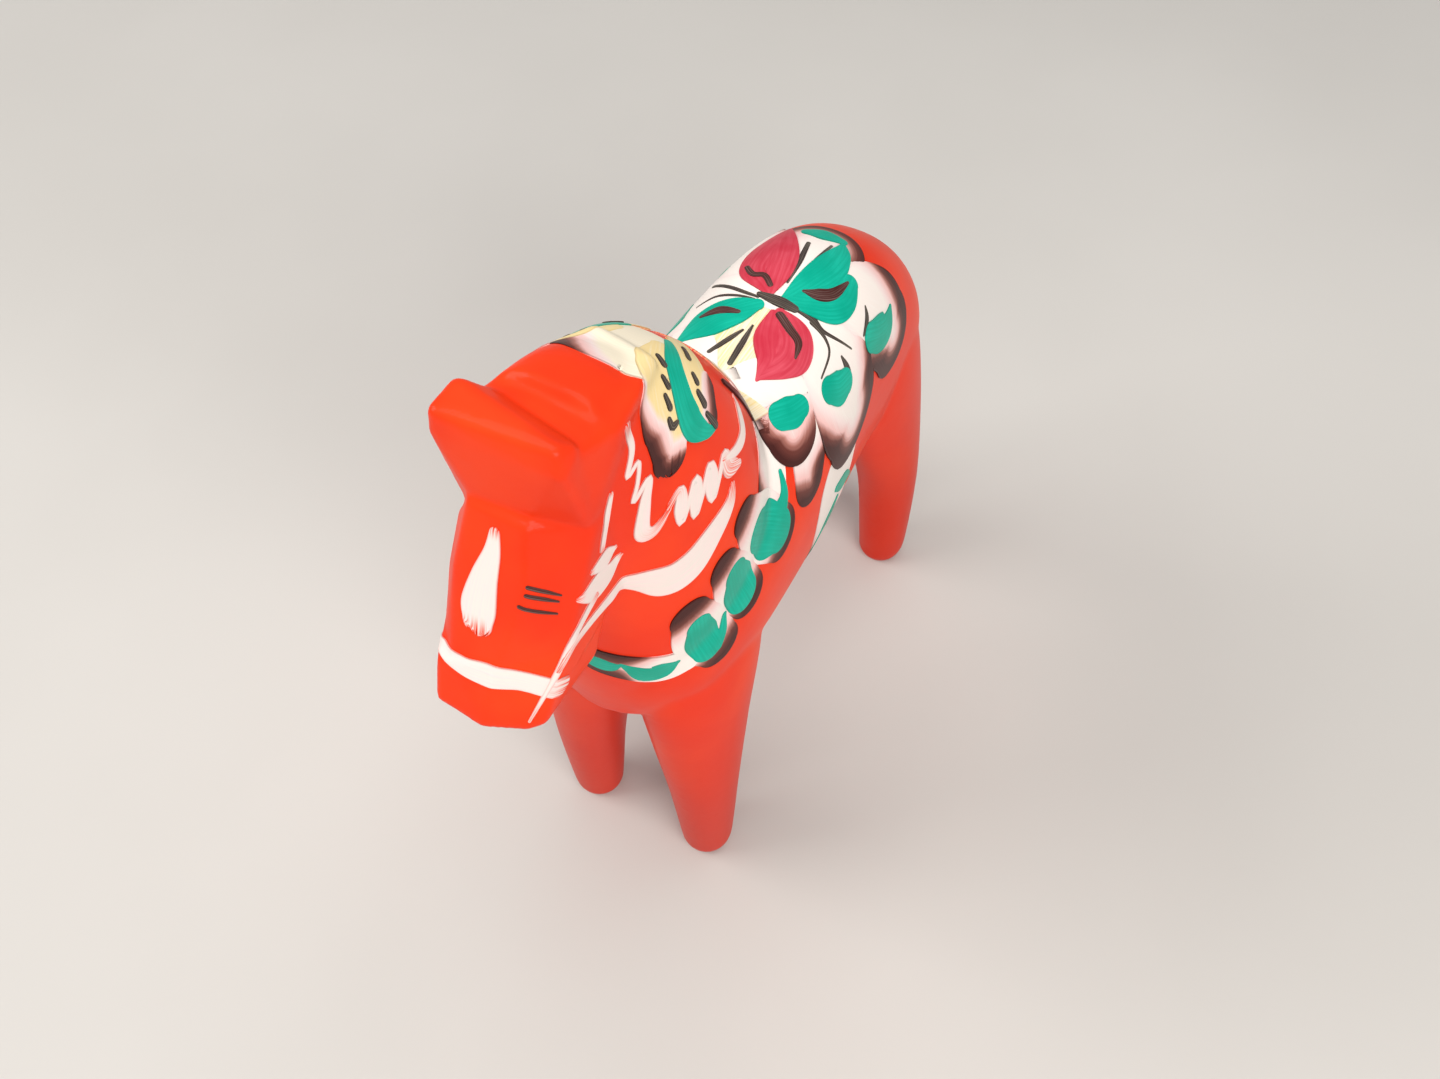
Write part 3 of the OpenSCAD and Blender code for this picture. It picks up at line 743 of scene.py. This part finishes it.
RED_PETALS = [
    [(-70.5, 2.5, 181, 1), (-63, 5, 181, 3.6), (-57, 8.5, 180.5, 3.5), (-52.5, 9, 180, 1.8),
     (-49, 9, 180, 0.4)],
    [(-71.5, 4, 181, 1.4), (-67.5, 10, 179.5, 4.8), (-61.5, 12.5, 178.5, 5.2),
     (-56, 12, 179, 3), (-49.5, 9, 180, 0.4)],
    [(-76, -2, 181, 0.9), (-81.5, -9, 180, 3.6), (-89, -10.5, 179, 5), (-97, -10.5, 177.5, 3.8),
     (-107, -10.7, 173, 0.5)],
    [(-76.5, -1, 181, 0.8), (-83, -2.5, 181, 3.3), (-90.5, -4.5, 180.5, 3.9),
     (-99, -7.5, 178, 2.4), (-107, -10.7, 173, 0.5)],
]
GREEN_PETALS = [
    [(-71, -2.5, 181, 2), (-67.5, -6, 180.5, 4.7), (-63, -10, 179.5, 6),
     (-58.5, -12.5, 178.7, 5.2), (-53, -15.5, 177, 1)],
    [(-76.5, 3, 181, 1.2), (-83.5, 5.5, 181, 3.7), (-92.5, 7.5, 179.5, 4.8),
     (-101.5, 7, 177, 3), (-106.5, 5.5, 175.5, 0.8)],
    [(-76, 4, 181, 1), (-78.5, 8.5, 180.5, 4), (-82.5, 12.5, 178, 5.7), (-88, 14.5, 176.8, 4.5),
     (-94, 13.5, 176.3, 2.6)],
]
PETAL_SHADOWS = [
    [(-62.5, -14, 178, 0.6), (-65.5, -10.5, 179.5, 1.5), (-66.5, -5.5, 180.5, 0.7)],
    [(-81, 6, 181, 0.5), (-82.5, 9.5, 180, 1.9), (-86, 12, 178.5, 1.6), (-93, 13, 177, 0.4)],
    [(-70.5, 4.5, 181, 1.2), (-68, 8.5, 180, 1.3), (-66, 12, 179, 1.1),
     (-61.5, 13.5, 178.5, 0.3)],
    [(-83, -11.5, 179, 0.7), (-80.5, -8.5, 180, 0.9), (-81, -5.5, 181, 0.9),
     (-78.5, -2.5, 181, 0.8)],
]
STAMENS = [
    [(-75, 7, 180.5, 0.9), (-75, 11.5, 179, 1.1), (-74.5, 15.5, 176.5, 0.6),
     (-79, 21.5, 169.5, 0.3)],
    [(-74, 12, 179, 0.8), (-73, 16.5, 176, 0.5), (-70.5, 19, 174, 0.4), (-63.5, 20, 172.5, 0.3)],
    [(-81.5, 1, 181.5, 0.3), (-90.5, 0, 180.5, 0.8), (-100, -2, 178.5, 0.6)],
    [(-81.5, 2.5, 181, 0.3), (-88, 3, 181, 0.5), (-103, 3.5, 177, 0.4)],
    [(-73.5, -3.5, 181, 0.4), (-74, -9, 180, 0.6), (-77, -18.5, 174, 0.5)],
    [(-72.5, -4, 181, 0.3), (-72, -9.5, 180, 0.5), (-71, -15, 177.5, 0.5),
     (-68, -18.5, 174.5, 0.4)],
    [(-61.5, -1.5, 181, 0.3), (-57.5, -3, 181, 0.7), (-51, -5.5, 181, 0.6)],
    [(-64, 0, 181, 0.3), (-57.5, 0.5, 181, 0.8), (-50, 1, 181, 0.7)],
    [(-74, 21, 171, 0.4), (-74, 23, 167.5, 1.2), (-74, 24.5, 164, 0.4)],
    [(-93, 18.5, 171, 0.3), (-91, 20.5, 169, 1), (-86.5, 21.5, 167.5, 0.4)],
]
DROPS = [
    [(-106.5, -5, 175.5, 2.2), (-107.5, -1, 175.2, 3.6), (-108, 4, 174.8, 2)],
    *mirrored([
        [(-52, 20, 173.5, 3.2), (-49, 19.2, 174, 4.2), (-45.5, 17.8, 175.3, 3.8)],
        [(-71, 24, 165.8, 3.8), (-67.5, 24, 166.8, 4.8), (-64, 22.8, 169, 3.8)],
        [(-105.5, 21.5, 161, 0.8), (-100.5, 23, 159, 4.6), (-95, 23.3, 161, 5.4),
         (-90, 22.7, 164, 4.4)],
    ]),
]
GROUND = [
    [(-27, 0, 205, 11), (-36, 0, 192, 14), (-47, 0, 182, 17), (-60, 0, 180, 19),
     (-80, 0, 178, 21), (-96, 0, 176, 14)],
]
LOBES = [
    [(-85, 0, 181, 14), (-95, 0, 179.5, 15), (-102, 0, 177, 14)],
    *mirrored([
        [(-88, 12, 177, 9), (-95, 18, 170, 13), (-101, 22.5, 161, 15), (-104, 24.3, 153.5, 13.5)],
        [(-72, 13, 176, 9), (-70, 20, 170, 14.5), (-70.5, 25, 161, 17.5), (-71.5, 27, 155, 16.5)],
        [(-33, 6, 198, 7), (-42, 9, 183, 9), (-48, 13.5, 178, 11), (-47, 17, 175.5, 11),
         (-45.5, 21, 171.5, 9.5)],
        [(-23, 14, 210, 0.7), (-28, 15, 200, 1.2), (-34, 16, 188, 1.8), (-38.5, 15, 178, 2)],
    ]),
]
SKIRT = [
    [(-52, 21.5, 169.5, 6), (-48, 25, 164, 8), (-44, 28, 157, 7.5)],
    [(-36, 20.5, 180, 9.5), (-31, 23.5, 175, 10.5), (-27, 25.5, 169, 9.5)],
]
COLLAR = [
    [(-12, 26, 179.5, 5.5), (-16, 26.5, 171.5, 8.5), (-21, 26.5, 164, 9.6),
     (-26, 28.7, 156.5, 8)],
    [(-1.5, 26, 172, 5.4), (-3.5, 27, 166, 7.6), (-5.5, 27.5, 159.5, 8.4), (-8, 28.7, 153, 7)],
    [(10.5, 24, 165.5, 6), (9, 25, 159, 8.2), (7, 25.5, 152, 8.6), (4.5, 28, 145.5, 7)],
    [(13, 23, 148.5, 5), (18.5, 19.5, 148.5, 6.3), (23, 13, 151, 6), (25.5, 6, 152, 5.6)],
]
BEADS = [
    [(-35, 23.5, 168.5, 0.6), (-32.5, 26, 163.5, 1.7), (-27, 27.5, 161, 4)],
    [(-25.5, 28, 158, 6.2), (-21.5, 27, 162.5, 7.9), (-18, 26.5, 166.5, 6)],
    [(-5, 27, 165.5, 4.4), (-5.5, 27.5, 161, 6.2), (-6.5, 28, 155, 5.8)],
    [(0.5, 27, 154.5, 0.9), (2.5, 27.5, 149.5, 1.5), (5.5, 27.5, 146.5, 2.4)],
    [(9, 25, 160, 3.8), (8.5, 25, 154.5, 5.2), (7.5, 26.5, 148, 4.6)],
    [(15, 22, 149, 1), (17.5, 20, 148, 3.8), (20.5, 17, 147.5, 3.8), (23, 14, 151, 1.8),
     (23.7, 12, 153, 0.7)],
    [(24, 11.5, 152.5, 0.8), (24.8, 9, 151.5, 2.6), (25.6, 5.5, 151.5, 2.8),
     (26, 1.5, 151.5, 1)],
]
GIRTH = [
    [(-62, 29, 138, 13.5), (-60, 29, 128, 13), (-58, 27, 115, 11.5), (-56, 23, 103, 9.5),
     (-55, 14, 95, 6)],
]
GIRTH_LEAVES = [
    [(-73, 28, 125, 1), (-67, 29, 129.5, 3.2), (-61, 29.5, 133.5, 1.4)],
    [(-63, 29, 126, 1.2), (-57, 29, 119.5, 3.8), (-52.5, 27.5, 110, 3.4), (-51, 24, 102, 1)],
]

LEFT = (1,)
RIGHT = (-1,)

# How far in mm the paler colour of each stroke has moved in from its left, right, start
# and end edges: PALE where there is no dark edge, and below 0 where it is a broad one.
ALL_PALE = (PALE, PALE, PALE, PALE)
TUFT_EDGES = ((-1.2, PALE, PALE, -1.5), (PALE, -0.8, PALE, PALE))
PATCH_EDGES = ((PALE, -0.8, PALE, PALE), ALL_PALE)
BROAD = (-2.5, -2.5, PALE, -3)
ALL_DARK = (0, 0, 0, 0)
LOBE_EDGES = (
    (0, 0, PALE, 0),
    BROAD, BROAD, (0, PALE, PALE, -1.5), ALL_DARK,
    BROAD, BROAD, (PALE, 0, PALE, -1.5), ALL_DARK,
)
SKIRT_EDGES = ((PALE, -2.5, PALE, -2.5), (-2.5, PALE, PALE, PALE))
ENDS = (PALE, PALE, -3, -3)
COLLAR_EDGES = (ENDS, ENDS, ENDS, (-0.5, -0.5, PALE, PALE))
GIRTH_EDGES = ((-2, -1, PALE, PALE),)

red = body_paint()
white = pale_stroke("white_strokes", PALE_PINK, CHALK)
cream = pale_stroke("cream_ground", YELLOW, CREAM)
rimmed = rimmed_stroke("pink_brown_rim", rgb(0.88, 0.79, 0.73), 2.9)
mane = rimmed_stroke("mane_rim", YELLOW, 1.9)
mane_edge = rimmed_stroke("mane_patch_edge", CREAM, 2.4)
green = full_stroke("green_strokes", GREEN, GREEN_LIGHT)
crimson = full_stroke("crimson_strokes", CRIMSON, ROSE, 1.1)
ink = thin_stroke("ink_lines", INK, OLIVE)
brown_ink = thin_stroke("shadow_lines", DARK_BROWN, rgb(0.16, 0.10, 0.09))

horse.data.materials.append(red)
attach(horse, "root")
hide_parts("carved_body")

paint("blaze", white, BLAZE, 1, LEFT, 2.0)
paint("noseband", white, NOSEBAND, 1, LEFT)
paint("saddle_ground", cream, GROUND, 2, LEFT)
paint("saddle_lobes", rimmed, LOBES, 3, LEFT, 0.0, LOBE_EDGES)
paint("red_petals", crimson, RED_PETALS, 5, LEFT)
paint("green_petals", green, GREEN_PETALS, 5, LEFT)
paint("petal_shadows", brown_ink, PETAL_SHADOWS, 6, LEFT)
paint("flower_heart", ink, HEART, 6, LEFT)
paint("stamens", ink, STAMENS, 4, LEFT)
paint("saddle_drops", green, DROPS, 5, LEFT)
paint("mane_patch", mane_edge, PATCH, 1, LEFT, 0.0, PATCH_EDGES)
for name, sides, eye in (("left", LEFT, EYE_DASHES), ("right", RIGHT, RIGHT_EYE)):
    paint(f"eye_dashes_{name}", brown_ink, eye, 1, sides)
    paint(f"cheek_strap_{name}", white, CHEEK_STRAP, 1, sides)
    paint(f"neck_ripple_{name}", white, RIPPLE, 1, sides)
    paint(f"mane_tuft_{name}", mane, TUFT, 2, sides, 2.5, TUFT_EDGES)
    paint(f"mane_leaf_{name}", green, MANE_LEAF, 3, sides)
    paint(f"mane_dashes_{name}", ink, MANE_DASHES, 4, sides)
    paint(f"saddle_skirt_{name}", rimmed, SKIRT, 1, sides, 0.0, SKIRT_EDGES)
    paint(f"collar_{name}", rimmed, COLLAR, 2, sides, 0.0, COLLAR_EDGES)
    paint(f"collar_beads_{name}", green, BEADS, 3, sides)
    paint(f"girth_{name}", rimmed, GIRTH, 0, sides, 0.0, GIRTH_EDGES)
    paint(f"girth_leaves_{name}", green, GIRTH_LEAVES, 2, sides)


# ---------------------------------------------------------------- floor, light, camera

def floor_paint():
    m = Nodes("pale_floor", 0.0)
    tone = m.spread(m.noise(3.0, 4.0), 0.3, 0.7)
    colour = m.mix(tone, rgb(0.54, 0.52, 0.49), rgb(0.58, 0.56, 0.53))
    return m.finish(colour, 0.6)


def add_floor():
    bm = bmesh.new()
    bmesh.ops.create_grid(bm, x_segments=1, y_segments=1, size=3)
    mesh = bpy.data.meshes.new("floor")
    bm.to_mesh(mesh)
    bm.free()
    mesh.materials.append(floor_paint())
    floor = bpy.data.objects.new("floor", mesh)
    bpy.context.scene.collection.objects.link(floor)


def add_light(name, spot, target, size, watts, colour):
    data = bpy.data.lights.new(name, "AREA")
    data.shape = "RECTANGLE"
    data.size, data.size_y = size
    data.energy = watts
    data.color = colour
    light = bpy.data.objects.new(name, data)
    light.location = spot
    light.rotation_euler = (Vector(target) - Vector(spot)).to_track_quat("-Z", "Y").to_euler()
    bpy.context.scene.collection.objects.link(light)


def add_camera():
    data = bpy.data.cameras.new("camera")
    data.sensor_width = 36
    data.lens = 32.5
    camera = bpy.data.objects.new("camera", data)
    camera.location = (0.1829, 0.1035, 0.4310)
    camera.rotation_euler = (math.radians(33.15), 0, math.radians(119))
    bpy.context.scene.collection.objects.link(camera)
    bpy.context.scene.camera = camera


add_floor()
heart = (0, 0, 0.13)
add_light("sky", (0.0, 0.0, 1.4), heart, (1.4, 1.0), 11, (1.0, 0.98, 0.95))
add_light("window", (0.45, -0.9, 0.9), heart, (0.8, 0.7), 9, (1.0, 0.98, 0.96))
add_light("room", (0.6, 0.9, 0.8), heart, (0.9, 0.7), 12, (1.0, 0.97, 0.94))
add_camera()

world = bpy.data.worlds.new("studio")
world.use_nodes = True
world.node_tree.nodes["Background"].inputs[0].default_value = rgb(0.9, 0.92, 0.95)
world.node_tree.nodes["Background"].inputs[1].default_value = 0.30
bpy.context.scene.world = world
bpy.context.scene.view_settings.view_transform = "Standard"
